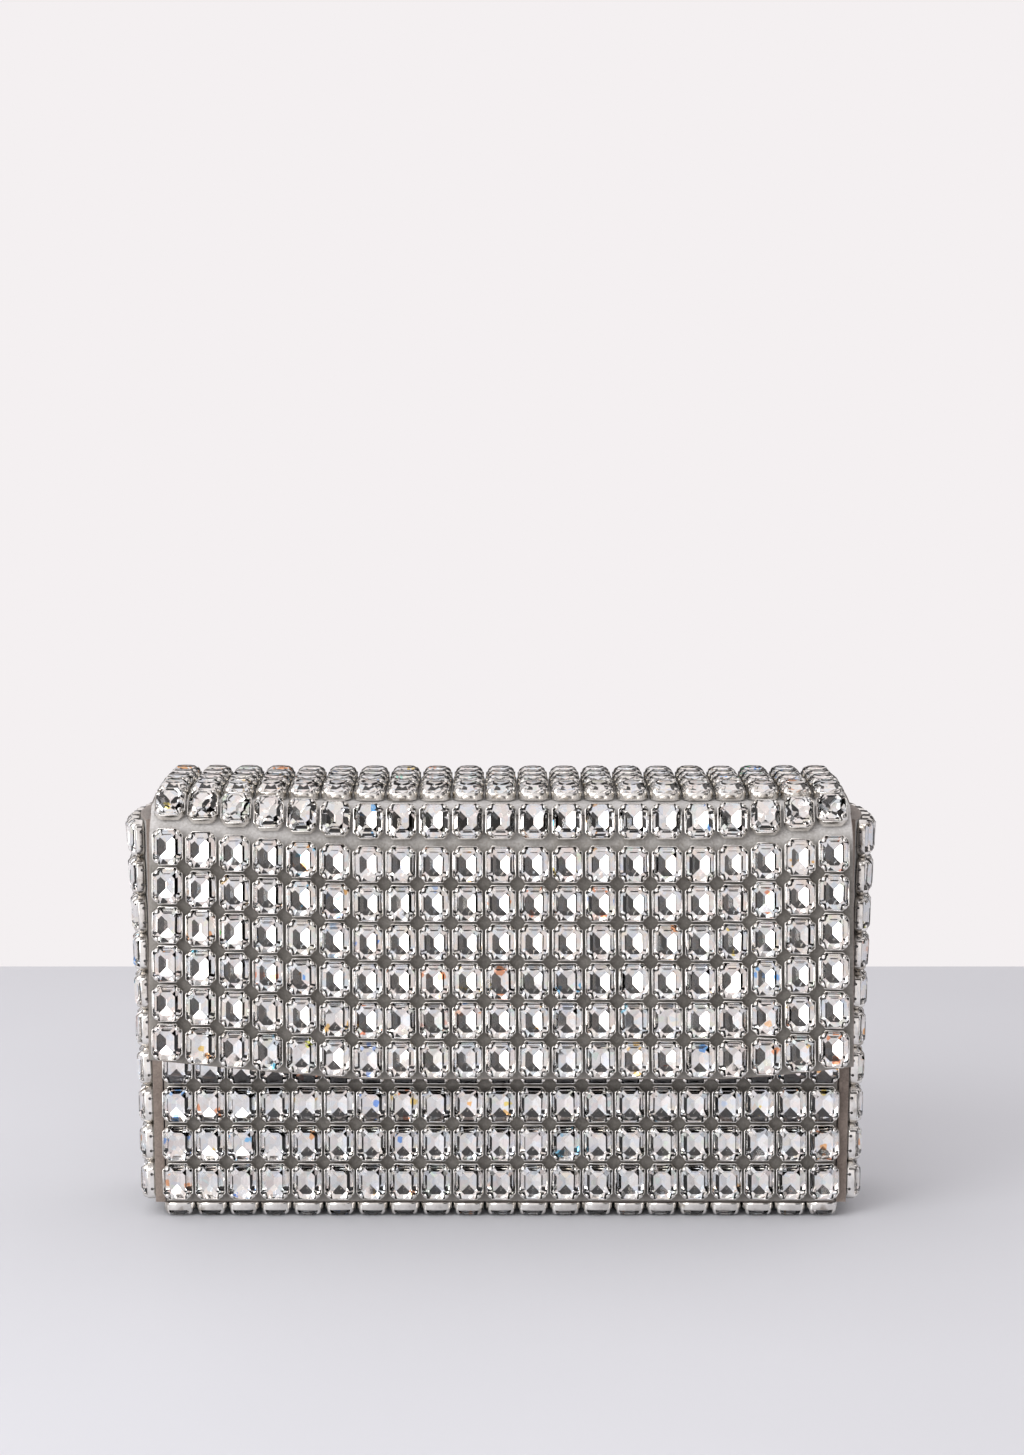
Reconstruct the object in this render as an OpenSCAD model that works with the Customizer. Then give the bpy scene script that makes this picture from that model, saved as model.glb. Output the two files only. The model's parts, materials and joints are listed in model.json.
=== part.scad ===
// Crystal-covered flap clutch: a boarded suede body with a folding flap, every outer face
// set with rows of octagonal step-cut stones in clawed metal settings that are sewn on by hand.
// The bag stands on its bottom. +X is to its right as the front is seen, the front faces -Y.

/* [Stones] */
// Width of one stone
stone_w = 8; // [7.6:0.1:8.2]
// Length of one stone
stone_l = 9.8; // [9.6:0.1:10]
// Length cut off each side at a stone's corners
stone_cut = 2.1; // [1.8:0.1:2.3]
// Depth of the pointed underside
pavilion_h = 1.65; // [1.4:0.05:1.8]
// Thickness of the stone's upright edge
girdle_h = 0.35; // [0.3:0.05:0.5]
// Height of the sloping crown
crown_h = 1.8; // [1.6:0.1:2]
// Length of the ridge that ends the underside
keel_l = 2.2; // [1:0.1:3]
// Width and length of the flat table, as shares of the stone
table_shares = [0.62, 0.68];

/* [Settings] */
// Thickness of a setting's wall
setting_wall = 0.25; // [0.2:0.05:0.35]
// Play between a stone and its setting
stone_fit = 0.05; // [0.03:0.01:0.08]
// Thickness of a setting's floor
setting_floor = 0.4; // [0.35:0.05:0.5]
// Height of the claws above the rim
claw_h = 0.9; // [0.7:0.05:1.1]
// Length of each claw along the setting's sides
claw_reach = 2.05; // [1.9:0.05:2.3]
// Height at which sewn settings stand off the suede
sewn_gap = 0.2; // [0.15:0.05:0.3]

/* [Rows of stones] */
// Number of columns across the bag
columns = 21; // [19:1:21]
// Distance between columns on the flap
flap_column_pitch = 9.3; // [9.3:0.05:9.4]
// Distance between rows on the flap
flap_row_pitch = 10.9; // [10.8:0.1:11.2]
// Rows on the hanging front of the flap
flap_front_rows = 7; // [5:1:7]
// Rows on the top of the flap
flap_top_rows = 4; // [3:1:4]
// Distance between columns on the body
body_column_pitch = 9.15; // [9.1:0.05:9.2]
// Distance between rows on the front of the body
front_row_pitch = 11.0; // [10.8:0.1:11]
// Height of the front's stones that the flap's edge may hide
front_hidden_h = 8; // [7.6:0.1:9]
// Least gap between rows on the back and the sides, which fill the body's height
tall_row_gap = 0.3; // [0.2:0.05:0.35]
// Suede left bare below the first row and above the last
row_margin = 0.3; // [0.2:0.05:0.4]
// Height of the lowest row on the front above the bottom's suede
front_margin = 1.2; // [0.3:0.1:1.4]
// Columns on each side
side_columns = 5; // [4:1:5]
// Distance between columns on the sides
side_column_pitch = 9.2; // [9.1:0.05:9.3]
// Rows on the bottom
bottom_rows = 4; // [3:1:4]

/* [Body] */
// Half of the body's width at the bottom, over the suede
base_half = 98; // [97.6:0.1:99]
// Height of the side panels
body_h = 108.9; // [107.8:0.1:110]
// Depth of the body, over the suede
body_d = 48; // [47.6:0.1:50]
// How far each side leans out from the bottom to the top
side_lean = 2.3; // [0:0.1:3]
// How far each side swells out at its top, halfway back
side_swell = 3.8; // [1:0.1:4.5]
// Height of the flap's back fold above the side panels
flap_rise = 5.0; // [4.8:0.1:6]

/* [Materials] */
// Thickness of the suede
suede_t = 1.0; // [0.8:0.1:1.2]
// Thickness of the stiffening board
board_t = 1.6; // [1.2:0.1:1.8]
// Thickness of the lining
lining_t = 0.6; // [0.5:0.1:0.8]
// Thickness of the side panels' thin stiffener
side_board_t = 1.0; // [0.8:0.1:1.2]
// Gap between curved layers
layer_gap = 0.1; // [0.05:0.05:0.2]
// Gap between the side panels and what fits between them
side_gap = 0.3; // [0.2:0.05:0.5]
// Depth of the suede turned in over the mouth
turn_in = 12; // [8:0.5:16]

/* [Flap] */
// Half of the flap's width
flap_half = 98.5; // [98:0.1:99]
// Thickness of the flap
flap_t = 3.2; // [3:0.1:3.4]
// Angle at which the flap's top slopes down at its front
top_slope = 12; // [8:1:14]
// Length of that sloping stretch
slope_l = 19; // [14:1:24]
// Distance from the front fold to the middle of the first hanging row
first_row_l = 4.2; // [4.2:0.1:5]
// How far the rows are pulled up at the left end
left_lift = 3.8; // [0:0.1:4]
// How far they are pulled up at the right end
right_lift = 1.4; // [0:0.1:3]
// Share of that lift which the rows on the flap's top follow
top_lift_share = 0.7;
// Distance from the middle at which the left end begins to lift
left_start = 38; // [36:1:60]
// Distance from the middle at which the right end begins to lift
right_start = 62; // [50:1:80]
// Suede left below the last row
flap_margin = 0.8; // [0.4:0.1:1.2]
// Angle at which the flap hangs, 90 being plumb
hang_angle = 87.5; // [86:0.5:88.5]
// How much flatter the flap leaves the front fold
fold_slack = 20; // [10:1:22]
// How much flatter still it leaves the fold at its two ends
end_slack = 31; // [0:1:34]
// Length over which that slack dies out
slack_l = 14; // [12:1:18]
// Running gap round the rolled folds
fold_gap = 0.3; // [0.25:0.05:0.5]
// Gap between the hanging flap and the front panel
flap_front_gap = 0.4; // [0.3:0.05:0.6]
// Gap between the flap and the panel's top edge
rest_gap = 0.4; // [0.3:0.05:0.6]

/* [Closure and pocket] */
// Diameter of the magnetic snap
snap_d = 14; // [12:0.5:16]
// Thickness of the half on the body
snap_socket_h = 2.0; // [1.6:0.1:2.4]
// Gap left between the snap's two halves
snap_gap = 0.3; // [0.2:0.05:0.5]
// Diameter of the dimple in the body half
dimple_d = 8; // [7:0.5:9]
// Depth of that dimple
dimple_h = 0.8; // [0.6:0.1:1]
// Diameter of the flap half's boss, which dips into the dimple
boss_d = 4; // [3:0.5:5]
// Distance of the snap below the front fold
snap_drop = 53; // [46:1:56]
// Diameter of the backing washers
washer_d = 18; // [16:0.5:20]
// Thickness of the backing washers
washer_t = 0.5; // [0.4:0.1:0.6]
// Width of the slip pocket
pocket_w = 110; // [80:1:130]
// Height of the slip pocket
pocket_h = 62; // [50:1:70]
// Thickness of the pocket's cloth
pocket_t = 0.8; // [0.6:0.1:1]
// Height of the pocket's hem
pocket_hem = 6; // [4:0.5:8]

/* [Hidden] */
$fn = 48;

// Facets up and across the side panels, down the hanging flap and across each of its ends,
// and along the slope of the flap's top
side_cells = [3, 4];
flap_cells = [9, 4];
slope_cells = 8;
// Steps in which the flap's curves are summed
curve_steps = 24;
// How the side's swell grows with height, the flap's lift towards its ends, and how long the
// flap's slack lasts before it bends down
swell_power = 1.5;
lift_power = 1.1;
slack_power = 5;
// How closely the flap's facets crowd towards its front fold
fold_crowd = 1.5;
// Overrun of cutting shapes
over = setting_wall;

// Setting, from the stone it holds
setting_w = stone_w + 2 * (stone_fit + setting_wall);
setting_l = stone_l + 2 * (stone_fit + setting_wall);
well_cut = stone_cut + stone_fit;
setting_cut = stone_cut - setting_wall;
rim_h = setting_floor + stone_fit + pavilion_h + girdle_h;
crystal_h = rim_h + crown_h;

// Levels of the body
foot_z = crystal_h + sewn_gap;
body_top_z = foot_z + body_h;
panel_t = suede_t + board_t + lining_t;
side_t = suede_t + side_board_t + lining_t + 2 * layer_gap;
half_d = body_d / 2;

// Rows that fill the back and the sides, and those on the bottom
tall_room = body_h - 2 * row_margin;
tall_rows = floor((tall_room + tall_row_gap) / (setting_l + tall_row_gap));
tall_row_pitch = (tall_room - setting_l) / (tall_rows - 1);
bottom_row_pitch = (body_d - 2 * row_margin - setting_l) / (bottom_rows - 1);

// Flap: the axes of its two folds lie halfway through its thickness
fold_r = flap_t / 2;
fold_clear = fold_r + fold_gap;
back_axis = [half_d - fold_r, body_top_z + flap_rise];
top_span = half_d + flap_front_gap + fold_r + back_axis[0];
top_run = top_span + slope_l * (1 - sin(top_slope) / (top_slope * PI / 180));
front_axis = back_axis + top_point(top_run);
front_run = first_row_l + (flap_front_rows - 1) * flap_row_pitch + setting_l / 2 + flap_margin;
front_top_z = front_axis[1] - fold_r - rest_gap;
back_top_z = back_axis[1] - fold_clear;
snap_z = front_axis[1] - snap_drop;

// Rows on the front, up to where the flap's edge hides them
flap_edge_z = front_place(0, front_run, 0)[2];
front_room = flap_edge_z + front_hidden_h - foot_z - front_margin;
front_rows = floor((front_room + front_row_pitch - setting_l) / front_row_pitch);

// The flap stands out further than the back, so the part is centred on its own box
front_reach = max([for (c = [0, columns - 1], r = [0 : flap_front_rows - 1])
  front_out(column_x(c, flap_column_pitch), r)]);
back_reach = half_d + sewn_gap + crystal_h;
centre_y = (front_reach - back_reach) / 2;

// Share by which a place across the flap belongs to its lifted ends, and the lift there
function end_share(x) =
  let (start = x < 0 ? left_start : right_start)
  pow(max(0, (abs(x) - start) / (flap_half - start)), lift_power);
function end_lift(x) = (x < 0 ? left_lift : right_lift) * end_share(x);

// Slope of the flap's top below level, a run s from the back fold
function top_angle(s) = top_slope * max(0, s - top_run + slope_l) / slope_l;

// Slope of the hanging flap below level at x, a run s from the front fold
function front_angle(x, s) =
  hang_angle - (fold_slack + end_slack * end_share(x)) * slack_left((s + end_lift(x)) / slack_l);
function slack_left(share) = 1 - pow(max(0, min(1, share)), slack_power);

// Places along the flap's middle surface, as [forward, up] summed from the fold
function top_point(s) = path_point(s, [for (k = [1 : curve_steps]) top_angle(mid_run(s, k))]);
function front_point(x, s) =
  let (bent = min(s, slack_l - end_lift(x)))
  path_point(bent, [for (k = [1 : curve_steps]) front_angle(x, mid_run(bent, k))])
  - (s - bent) * [cos(hang_angle), sin(hang_angle)];
function mid_run(s, k) = s * (2 * k - 1) / (2 * curve_steps);
function path_point(s, angles) =
  -s / curve_steps * [sum([for (a = angles) cos(a)]), sum([for (a = angles) sin(a)])];
function sum(v) = v * [for (i = v) 1];

// Point of the flap's top at x, run s and offset d out of its middle surface
function top_place(x, s, d) =
  let (p = back_axis + top_point(s), a = top_angle(s))
  [x, p[0] - d * sin(a), p[1] + d * cos(a)];

// Point of the hanging flap at x, run s and offset d out of its middle surface
function front_place(x, s, d) =
  let (p = front_axis + front_point(x, s), a = front_angle(x, s))
  [x, p[0] - d * sin(a), p[1] + d * cos(a)];

// Run at which the middle of hanging row r lies
function row_run(x, r) = first_row_l + r * flap_row_pitch - end_lift(x);

// How far forward the stone of row r stands out at x
function front_out(x, r) =
  let (s = row_run(x, r), a = front_angle(x, s))
  -front_place(x, s, fold_r + sewn_gap + crystal_h)[1] + stone_l * table_shares[1] / 2 * cos(a);

// Seat of a stone at x and run s, halfway between its two sides and on the highest corners of
// the twisted flap under it, and its turn there
function front_seat(x, s) =
  let (
    x0 = x - setting_w / 2,
    x1 = x + setting_w / 2,
    twist = abs(front_angle(x1, s) - front_angle(x0, s)) * PI / 180,
    d = fold_r + twist * setting_l / 4
  )
  (front_place(x0, s, d) + front_place(x1, s, d)) / 2;
function front_turn(x, s) =
  let (
    step = front_place(x + setting_w / 2, s, fold_r) - front_place(x - setting_w / 2, s, fold_r),
    a = front_angle(x, s)
  )
  atan((step[1] * sin(a) - step[2] * cos(a)) / (setting_w * sin(a)));

// Half of the body's width at height z, at the corners
function edge_half(z) = base_half + side_lean * (z - foot_z) / body_h;
// How much the side swells at height z, and the share of it left at depth y
function swell(z) = side_swell * pow(max(0, z - foot_z) / body_h, swell_power);
function swell_share(y) = 1 - pow(y / half_d, 2);
function side_x(y, z) = edge_half(z) + swell(z) * swell_share(y);
// Slopes of the side across its depth and up its height
function side_yaw(y, z) = atan(2 * swell(z) * y / pow(half_d, 2));
function side_rise(y, z) =
  atan(side_lean / body_h + swell_power * swell(z) * swell_share(y) / (z - foot_z + over));
// Point of the right side at depth y and height z, offset d inward
function side_place(y, z, d) = [
  side_x(y, z) - d * cos(side_yaw(y, z)) * cos(side_rise(y, z)), y, z
];
// Half of the width that fits between the side panels at height z
function inner_half(z) = edge_half(z) - side_t - side_gap;

// Octagon of a stone or a setting
function octagon(w, l, cut) = [
  for (q = [[1, -1], [1, 1], [-1, 1], [-1, -1]])
    for (k = q[0] * q[1] < 0 ? [0, 1] : [1, 0])
      [q[0] * (w / 2 - (k == 0 ? cut : 0)), q[1] * (l / 2 - (k == 0 ? 0 : cut))]
];

// Profile of a stone across its width or length: underside, girdle, crown and table
function stone_profile(full, table, foot, z0, z1, z2, z3) = concat(
  foot > 0 ? [[-foot / 2, z0], [foot / 2, z0]] : [[0, z0]],
  z1 > z0 ? [[full / 2, z1]] : [],
  [[full / 2, z2], [table / 2, z3], [-table / 2, z3], [-full / 2, z2]],
  z1 > z0 ? [[-full / 2, z1]] : []
);

// Extrusions along the stone's length and along its width
module along_length(profile, l) {
  rotate([90, 0, 0])
    linear_extrude(l + 2 * over, center = true)
      polygon(profile);
}
module along_width(profile, w) {
  rotate([90, 0, 90])
    linear_extrude(w + 2 * over, center = true)
      polygon(profile);
}

// One loose stone: pointed underside with its ridge, girdle, crown and table
module stone() {
  z0 = setting_floor + stone_fit;
  z1 = z0 + pavilion_h;
  z2 = z1 + girdle_h;
  intersection() {
    translate([0, 0, z0]) linear_extrude(crystal_h - z0) polygon(octagon(stone_w, stone_l, stone_cut));
    along_length(
      stone_profile(stone_w, stone_w * table_shares[0], 0, z0, z1, z2, crystal_h), stone_l
    );
    along_width(
      stone_profile(stone_l, stone_l * table_shares[1], keel_l, z0, z1, z2, crystal_h), stone_w
    );
  }
}

// One metal setting: an octagonal cup whose corners rise as four claws
module setting() {
  difference() {
    linear_extrude(rim_h + claw_h) polygon(octagon(setting_w, setting_l, setting_cut));
    translate([0, 0, setting_floor])
      linear_extrude(rim_h + claw_h)
        polygon(octagon(setting_w - 2 * setting_wall, setting_l - 2 * setting_wall, well_cut));
    translate([0, 0, rim_h]) linear_extrude(claw_h + over) {
      square([setting_w + 2 * over, setting_l - 2 * claw_reach], center = true);
      square([setting_w - 2 * claw_reach, setting_l + 2 * over], center = true);
    }
  }
}

// A stone and its setting as one closed piece, for the faces away from the flap's front
module crystal() {
  intersection() {
    linear_extrude(crystal_h) polygon(octagon(setting_w, setting_l, setting_cut));
    along_length(
      stone_profile(setting_w, stone_w * table_shares[0], setting_w, 0, 0, rim_h, crystal_h), setting_l
    );
    along_width(
      stone_profile(setting_l, stone_l * table_shares[1], setting_l, 0, 0, rim_h, crystal_h), setting_w
    );
  }
}

// Stands a stone on a surface whose normal leans back by tilt and turns by yaw
module sewn(p, tilt, yaw = 0) {
  translate(p) rotate([tilt, 0, yaw]) translate([0, 0, sewn_gap]) children();
}

function column_x(c, pitch) = (c - (columns - 1) / 2) * pitch;
function row_z(r, pitch, margin = row_margin) = foot_z + margin + setting_l / 2 + r * pitch;

// Everything in the part's own frame, centred front to back
module placed() {
  translate([0, centre_y, 0]) children();
}

module on_flap_front() {
  placed()
    for (r = [0 : flap_front_rows - 1], c = [0 : columns - 1]) {
      x = column_x(c, flap_column_pitch);
      s = row_run(x, r);
      yaw = front_turn(x, s);
      sewn(front_seat(x, s), atan(tan(front_angle(x, s)) / cos(yaw)), yaw) children();
    }
}

module on_flap_top() {
  placed()
    for (r = [0 : flap_top_rows - 1], c = [0 : columns - 1]) {
      x = column_x(c, flap_column_pitch);
      lift = top_lift_share * end_lift(x);
      s = top_run - fold_clear - setting_l / 2 - r * flap_row_pitch - lift;
      sewn(top_place(x, s, fold_r), top_angle(s)) children();
    }
}

module on_front() {
  placed()
    for (r = [0 : front_rows - 1], c = [0 : columns - 1])
      sewn([column_x(c, body_column_pitch), -half_d, row_z(r, front_row_pitch, front_margin)], 90) children();
}

module on_back() {
  placed()
    for (r = [0 : tall_rows - 1], c = [0 : columns - 1])
      sewn([column_x(c, body_column_pitch), half_d, row_z(r, tall_row_pitch)], 90, 180) children();
}

module on_right() {
  placed()
    for (r = [0 : tall_rows - 1], c = [0 : side_columns - 1]) {
      y = (c - (side_columns - 1) / 2) * side_column_pitch;
      z = row_z(r, tall_row_pitch);
      sewn([side_x(y, z), y, z], 90 + side_rise(y, z), 90 + side_yaw(y, z)) children();
    }
}

module on_bottom(first, last) {
  placed()
    for (r = [0 : bottom_rows - 1], c = [first : last])
      sewn([
        column_x(c, body_column_pitch), (r - (bottom_rows - 1) / 2) * bottom_row_pitch, foot_z
      ], 180) children();
}

// Closed slab between two grids of points, each a list of rows
function slab_points(outer, inner) = concat([for (row = outer, p = row) p], [for (row = inner, p = row) p]);
function slab_faces(nu, nv) =
  let (w = nv + 1, m = (nu + 1) * w)
  concat(
    [for (i = [0 : nu - 1], j = [0 : nv - 1]) each [
      [i * w + j, i * w + j + 1, (i + 1) * w + j + 1],
      [i * w + j, (i + 1) * w + j + 1, (i + 1) * w + j],
      [m + i * w + j, m + (i + 1) * w + j + 1, m + i * w + j + 1],
      [m + i * w + j, m + (i + 1) * w + j, m + (i + 1) * w + j + 1]
    ]],
    [for (j = [0 : nv - 1]) each [
      [j, m + j + 1, j + 1], [j, m + j, m + j + 1],
      [nu * w + j, nu * w + j + 1, m + nu * w + j + 1],
      [nu * w + j, m + nu * w + j + 1, m + nu * w + j]
    ]],
    [for (i = [0 : nu - 1]) each [
      [i * w, (i + 1) * w, m + (i + 1) * w], [i * w, m + (i + 1) * w, m + i * w],
      [i * w + nv, m + (i + 1) * w + nv, (i + 1) * w + nv], [i * w + nv, m + i * w + nv, m + (i + 1) * w + nv]
    ]]
  );

// One curved layer of the right side panel, between two depths under its surface
module side_layer(d0, d1) {
  nu = side_cells[0];
  nv = side_cells[1];
  rows = [for (i = [0 : nu]) foot_z + body_h * i / nu];
  ys = [for (j = [0 : nv]) half_d * (2 * j / nv - 1)];
  placed()
    polyhedron(
      slab_points(
        [for (z = rows) [for (y = ys) side_place(y, z, d0)]],
        [for (z = rows) [for (y = ys) side_place(y, z, d1)]]
      ),
      slab_faces(nu, nv), convexity = 4
    );
}

// One curved layer of the hanging flap, between two offsets out of its middle surface
module flap_layer(d0, d1, s0, s1) {
  nu = flap_cells[0];
  nv = 2 * flap_cells[1] + 1;
  ends = [for (j = [0 : flap_cells[1]]) j / flap_cells[1]];
  xs = concat(
    [for (t = ends) -flap_half + (flap_half - left_start) * t],
    [for (t = ends) right_start + (flap_half - right_start) * t]
  );
  function run(x, i) = s0 + (s1 - end_lift(x) - s0) * pow(i / nu, fold_crowd);
  placed()
    polyhedron(
      slab_points(
        [for (i = [0 : nu]) [for (x = xs) front_place(x, run(x, i), d1)]],
        [for (i = [0 : nu]) [for (x = xs) front_place(x, run(x, i), d0)]]
      ),
      slab_faces(nu, nv), convexity = 4
    );
}

// One layer of the flap's top, swept across the bag
module top_layer(d0, d1, s0, s1) {
  bend = top_run - slope_l;
  runs = concat([s0], [for (i = [0 : slope_cells]) bend + (s1 - bend) * i / slope_cells]);
  outer = [for (s = runs) let (p = top_place(0, s, d1)) [p[1], p[2]]];
  inner = [for (i = [len(runs) - 1 : -1 : 0]) let (p = top_place(0, runs[i], d0)) [p[1], p[2]]];
  placed()
    rotate([90, 0, 90])
      linear_extrude(2 * flap_half, center = true)
        polygon(concat(outer, inner));
}

// Upright panel between depths y0 and y1, as wide as fits between the sides
module panel(y0, y1, z0, z1) {
  placed()
    translate([0, y1, 0])
      rotate([90, 0, 0])
        linear_extrude(y1 - y0)
          polygon([
            [-inner_half(z0), z0], [inner_half(z0), z0], [inner_half(z1), z1], [-inner_half(z1), z1]
          ]);
}

// Level panel of the bottom between heights z0 and z1
module floor_panel(z0, z1, depth) {
  placed()
    translate([-inner_half(foot_z), -depth / 2, z0])
      cube([2 * inner_half(foot_z), depth, z1 - z0]);
}

suede_colour = [0.55, 0.54, 0.53];
board_colour = [0.62, 0.56, 0.46];
lining_colour = [0.42, 0.41, 0.42];
metal_colour = [0.75, 0.74, 0.71];
crystal_colour = [0.87, 0.88, 0.92];
inner_y = half_d - suede_t - board_t;

// Front panel: suede turned in over the mouth, its board and its lining
module front_cover() {
  color(suede_colour) {
    panel(-half_d, -half_d + suede_t, foot_z, front_top_z);
    panel(-half_d, -inner_y + suede_t, front_top_z - suede_t, front_top_z);
    panel(-inner_y, -inner_y + suede_t, front_top_z - turn_in, front_top_z);
  }
}
module front_board() {
  color(board_colour) difference() {
    panel(-half_d + suede_t, -inner_y, foot_z + suede_t, front_top_z - suede_t);
    placed() translate([0, -inner_y + over, snap_z]) rotate([90, 0, 0])
      cylinder(d = washer_d + 2 * layer_gap, h = washer_t + over);
  }
}
module front_lining() {
  color(lining_colour) panel(-inner_y, -inner_y + lining_t, foot_z + panel_t, front_top_z - turn_in);
}

// Back panel, which carries the flap at its top edge
module back_cover() {
  color(suede_colour) panel(half_d - suede_t, half_d, foot_z, back_top_z);
}
module back_board() {
  color(board_colour) panel(inner_y, half_d - suede_t, foot_z + suede_t, back_top_z);
}
module back_lining() {
  color(lining_colour) panel(inner_y - lining_t, inner_y, foot_z + panel_t, back_top_z);
}

// Bottom panel, between the front and the back
module bottom_cover() {
  color(suede_colour) floor_panel(foot_z, foot_z + suede_t, 2 * (half_d - suede_t));
}
module bottom_board() {
  color(board_colour) floor_panel(foot_z + suede_t, foot_z + suede_t + board_t, 2 * inner_y);
}
module bottom_lining() {
  color(lining_colour) floor_panel(foot_z + suede_t + board_t, foot_z + panel_t, 2 * inner_y);
}

// Side panels: suede, thin stiffener and lining, leaning and swelling outward
board_d0 = suede_t + layer_gap;
board_d1 = board_d0 + side_board_t;
module gusset_right_cover() {
  color(suede_colour) side_layer(0, suede_t);
}
module gusset_right_board() {
  color(board_colour) side_layer(board_d0, board_d1);
}
module gusset_right_lining() {
  color(lining_colour) side_layer(board_d1 + layer_gap, side_t);
}
module gusset_left_cover() {
  mirror([1, 0, 0]) gusset_right_cover();
}
module gusset_left_board() {
  mirror([1, 0, 0]) gusset_right_board();
}
module gusset_left_lining() {
  mirror([1, 0, 0]) gusset_right_lining();
}

// Slip pocket sewn flat on the back lining, with a thicker hem at its mouth
module slip_pocket() {
  y1 = inner_y - lining_t;
  z0 = foot_z + panel_t + pocket_hem;
  color(lining_colour) placed() {
    translate([-pocket_w / 2, y1 - pocket_t, z0]) cube([pocket_w, pocket_t, pocket_h]);
    translate([-pocket_w / 2, y1 - 2 * pocket_t, z0 + pocket_h - pocket_hem])
      cube([pocket_w, pocket_t, pocket_hem]);
  }
}

// Magnetic snap, half on the front panel and half inside the flap
module snap_socket() {
  color(metal_colour) placed()
    translate([0, -half_d, snap_z]) rotate([90, 0, 0]) difference() {
      cylinder(d = snap_d, h = snap_socket_h);
      translate([0, 0, snap_socket_h - dimple_h]) cylinder(d = dimple_d, h = dimple_h + over);
    }
}
module snap_socket_washer() {
  color(metal_colour) placed()
    translate([0, -inner_y, snap_z]) rotate([90, 0, 0])
      cylinder(d = washer_d, h = washer_t);
}
// Run at which the stud hangs, tilted with the flap, so that its boss ends level with the
// socket's middle, and the heights that fill what the socket leaves there
bend_z = front_place(0, slack_l, -fold_r)[2];
snap_tip_l = half_d + snap_socket_h;
snap_bend_out = -front_place(0, slack_l, -fold_r)[1] - snap_tip_l;
snap_run = slack_l + (bend_z - snap_z) * sin(hang_angle) - snap_bend_out * cos(hang_angle);
snap_tilt_h = snap_d / 2 * cos(hang_angle);
snap_room = -front_place(0, snap_run, -fold_r)[1] - snap_tip_l;
snap_stud_h = snap_room - snap_tilt_h - snap_gap - layer_gap;
boss_h = snap_gap + snap_tilt_h + dimple_h / 2;
// Suede's inner face and the felt's outer face, which leave room for the washer
cover_d0 = fold_r - suede_t;
felt_d1 = cover_d0 - washer_t - 2 * layer_gap;
module on_snap(d) {
  p = front_place(0, snap_run, d);
  placed() translate(p) rotate([front_angle(0, snap_run), 0, 0]) children();
}
module snap_stud() {
  color(metal_colour) on_snap(-fold_r - layer_gap) {
    translate([0, 0, -snap_stud_h]) cylinder(d = snap_d, h = snap_stud_h);
    translate([0, 0, -snap_stud_h - boss_h]) cylinder(d = boss_d, h = boss_h + over);
  }
}
module snap_stud_washer() {
  color(metal_colour) on_snap(felt_d1 + layer_gap) cylinder(d = washer_d, h = washer_t);
}

// Top of the flap
module flap_top_cover() {
  color(suede_colour) top_layer(cover_d0, fold_r, fold_clear, top_run - fold_clear);
}
module flap_top_board() {
  color(board_colour) top_layer(lining_t - fold_r, cover_d0, fold_clear, top_run - fold_clear);
}
module flap_top_lining() {
  color(lining_colour) top_layer(-fold_r, lining_t - fold_r, fold_clear, top_run - fold_clear);
}

// Hanging front of the flap: suede outside, and inside it a lining bonded to felt, with the
// snap's washer between the two
module flap_front_cover() {
  color(suede_colour) flap_layer(cover_d0, fold_r, fold_clear, front_run);
}
module flap_front_lining() {
  color(lining_colour) flap_layer(-fold_r, felt_d1, fold_clear, front_run);
}

// Rolled folds, each on the axis that it bends about
module roll(axis) {
  placed()
    translate([0, axis[0], axis[1]])
      rotate([90, 0, 90])
        cylinder(r = fold_r, h = 2 * flap_half, center = true);
}
module back_fold() {
  color(suede_colour) roll(back_axis);
}
module front_fold() {
  color(suede_colour) roll(front_axis);
}

// Stones on each face
module flap_front_settings() {
  color(metal_colour) on_flap_front() setting();
}
module flap_front_stones() {
  color(crystal_colour) on_flap_front() stone();
}
module flap_top_crystals() {
  color(crystal_colour) on_flap_top() crystal();
}
module front_crystals() {
  color(crystal_colour) on_front() crystal();
}
module back_crystals() {
  color(crystal_colour) on_back() crystal();
}
module gusset_right_crystals() {
  color(crystal_colour) on_right() crystal();
}
module gusset_left_crystals() {
  mirror([1, 0, 0]) gusset_right_crystals();
}
module bottom_crystals() {
  color(crystal_colour) on_bottom(1, columns - 2) crystal();
}
module bottom_end_crystals() {
  color(crystal_colour) {
    on_bottom(0, 0) crystal();
    on_bottom(columns - 1, columns - 1) crystal();
  }
}

front_cover();
front_board();
front_lining();
back_cover();
back_board();
back_lining();
bottom_cover();
bottom_board();
bottom_lining();
gusset_left_cover();
gusset_left_board();
gusset_left_lining();
gusset_right_cover();
gusset_right_board();
gusset_right_lining();
slip_pocket();
snap_socket();
snap_socket_washer();
flap_top_cover();
flap_top_board();
flap_top_lining();
flap_front_cover();
flap_front_lining();
snap_stud();
snap_stud_washer();
back_fold();
front_fold();
flap_front_settings();
flap_front_stones();
flap_top_crystals();
front_crystals();
back_crystals();
gusset_left_crystals();
gusset_right_crystals();
bottom_crystals();
bottom_end_crystals();
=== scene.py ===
import json
import math
import bmesh
import bpy
import numpy as np
from mathutils import Matrix, Vector


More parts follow.
